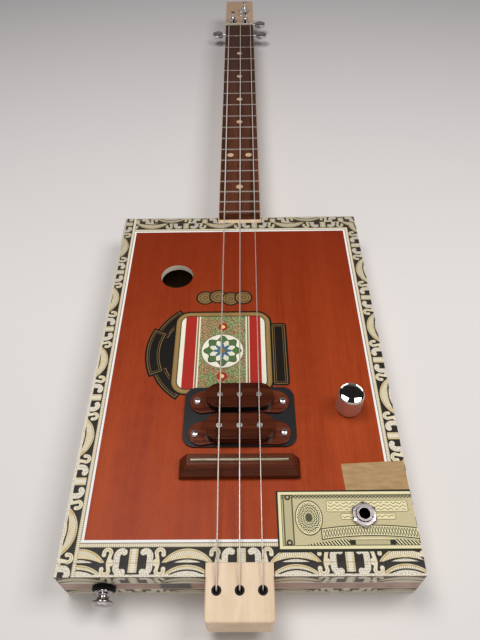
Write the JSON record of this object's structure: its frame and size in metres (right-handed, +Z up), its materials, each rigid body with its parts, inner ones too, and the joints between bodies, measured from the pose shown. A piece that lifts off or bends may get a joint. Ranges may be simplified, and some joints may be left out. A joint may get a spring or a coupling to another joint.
{
  "type": "cigar box guitar",
  "caption": "Fretted cigar box guitar: flat wooden box body, through neck, bridge, magnetic pickup, volume knob, output jack and worm-geared tuners, lying on its back.",
  "frame": {"origin": "middle of the box's back face, on the surface that the guitar lies on", "axes": "+X across the strings towards the knob's side, +Y along the neck towards the head, +Z up out of the lid"},
  "size_m": [0.206, 0.824, 0.052],
  "materials": {
    "lid": "red-brown cedar print, satin varnish, with a printed border",
    "box_paper": "thin wood wrapped in printed paper, black and cream scroll border",
    "maple": "hard maple, satin oil, fine straight grain",
    "rosewood": "dark open-pored rosewood, oiled",
    "fret_wire": "nickel silver, polished along its length",
    "bone": "bleached bone, polished",
    "black_plate": "black plastic sheet, fine satin",
    "coil_plastic": "black moulded bobbin wrapped in tape",
    "pot_metal": "plated stamped steel",
    "chrome": "bright chrome plate with light handling marks",
    "felt": "pressed black felt",
    "black_rubber": "black rubber grommet",
    "cable": "black sheathed screened lead",
    "string_steel": "plain and wound music wire"
  },
  "bodies": {
    "root": {"lid_panel": "lid", "bottom_panel": "box_paper", "left_side_wall": "box_paper", "right_side_wall": "box_paper", "tail_end_wall": "box_paper", "head_end_wall": "box_paper", "neck": "maple", "fretboard": "rosewood", "nut": "bone", "bridge": "rosewood", "saddle_wire": "fret_wire", "pickup_plate": "black_plate", "volume_pot": "pot_metal", "output_jack": "chrome", "jack_nut": "chrome", "strap_felt": "felt", "strap_button": "chrome", "pickup_lead": "cable", "string_ferrule_1": "black_rubber", "string_ferrule_2": "black_rubber", "string_ferrule_3": "black_rubber", "fret_01": "fret_wire", "fret_02": "fret_wire", "fret_03": "fret_wire", "fret_04": "fret_wire", "fret_05": "fret_wire", "fret_06": "fret_wire", "fret_07": "fret_wire", "fret_08": "fret_wire", "fret_09": "fret_wire", "fret_10": "fret_wire", "fret_11": "fret_wire", "fret_12": "fret_wire", "fret_13": "fret_wire", "fret_14": "fret_wire", "fret_15": "fret_wire", "fret_16": "fret_wire", "fret_17": "fret_wire", "pickup_base_1": "rosewood", "pickup_cover_1": "rosewood", "pickup_coil_1": "coil_plastic", "pickup_poles_1": "fret_wire", "pickup_base_2": "rosewood", "pickup_cover_2": "rosewood", "pickup_coil_2": "coil_plastic", "pickup_poles_2": "fret_wire", "string_low": "string_steel", "string_middle": "string_steel", "string_high": "string_steel", "tuner_left_housing": "chrome", "tuner_right_far_housing": "chrome", "tuner_right_near_housing": "chrome"},
    "left_key": {"tuner_left_button": "chrome"},
    "left_post": {"tuner_left_post": "chrome"},
    "right_far_key": {"tuner_right_far_button": "chrome"},
    "right_far_post": {"tuner_right_far_post": "chrome"},
    "right_near_key": {"tuner_right_near_button": "chrome"},
    "right_near_post": {"tuner_right_near_post": "chrome"},
    "volume": {"pot_shaft": "pot_metal", "volume_knob": "chrome"}
  },
  "joints": [
    {"name": "left_key_turn", "type": "hinge", "parent": "root", "child": "left_key", "pos_m": [-0.0088, 0.58135, 0.0143], "axis": [1, 0, 0], "continuous": true},
    {"name": "left_post_turn", "type": "hinge", "parent": "root", "child": "left_post", "pos_m": [-0.0088, 0.575, 0.034], "axis": [0, 0, 1], "continuous": true},
    {"name": "right_far_key_turn", "type": "hinge", "parent": "root", "child": "right_far_key", "pos_m": [0.0074, 0.61385, 0.0143], "axis": [1, 0, 0], "continuous": true},
    {"name": "right_far_post_turn", "type": "hinge", "parent": "root", "child": "right_far_post", "pos_m": [0.0074, 0.6075, 0.034], "axis": [0, 0, 1], "continuous": true},
    {"name": "right_near_key_turn", "type": "hinge", "parent": "root", "child": "right_near_key", "pos_m": [0.0084, 0.57785, 0.0143], "axis": [1, 0, 0], "continuous": true},
    {"name": "right_near_post_turn", "type": "hinge", "parent": "root", "child": "right_near_post", "pos_m": [0.0084, 0.5715, 0.034], "axis": [0, 0, 1], "continuous": true},
    {"name": "volume_turn", "type": "hinge", "parent": "root", "child": "volume", "pos_m": [0.073, -0.0461, 0.034], "axis": [0, 0, 1], "range_deg": [-150, 150]}
  ],
  "couplings": [
    {"joint": "left_post_turn", "follows": "left_key_turn", "ratio": 0.071429},
    {"joint": "right_far_post_turn", "follows": "right_far_key_turn", "ratio": 0.071429},
    {"joint": "right_near_post_turn", "follows": "right_near_key_turn", "ratio": 0.071429}
  ]
}
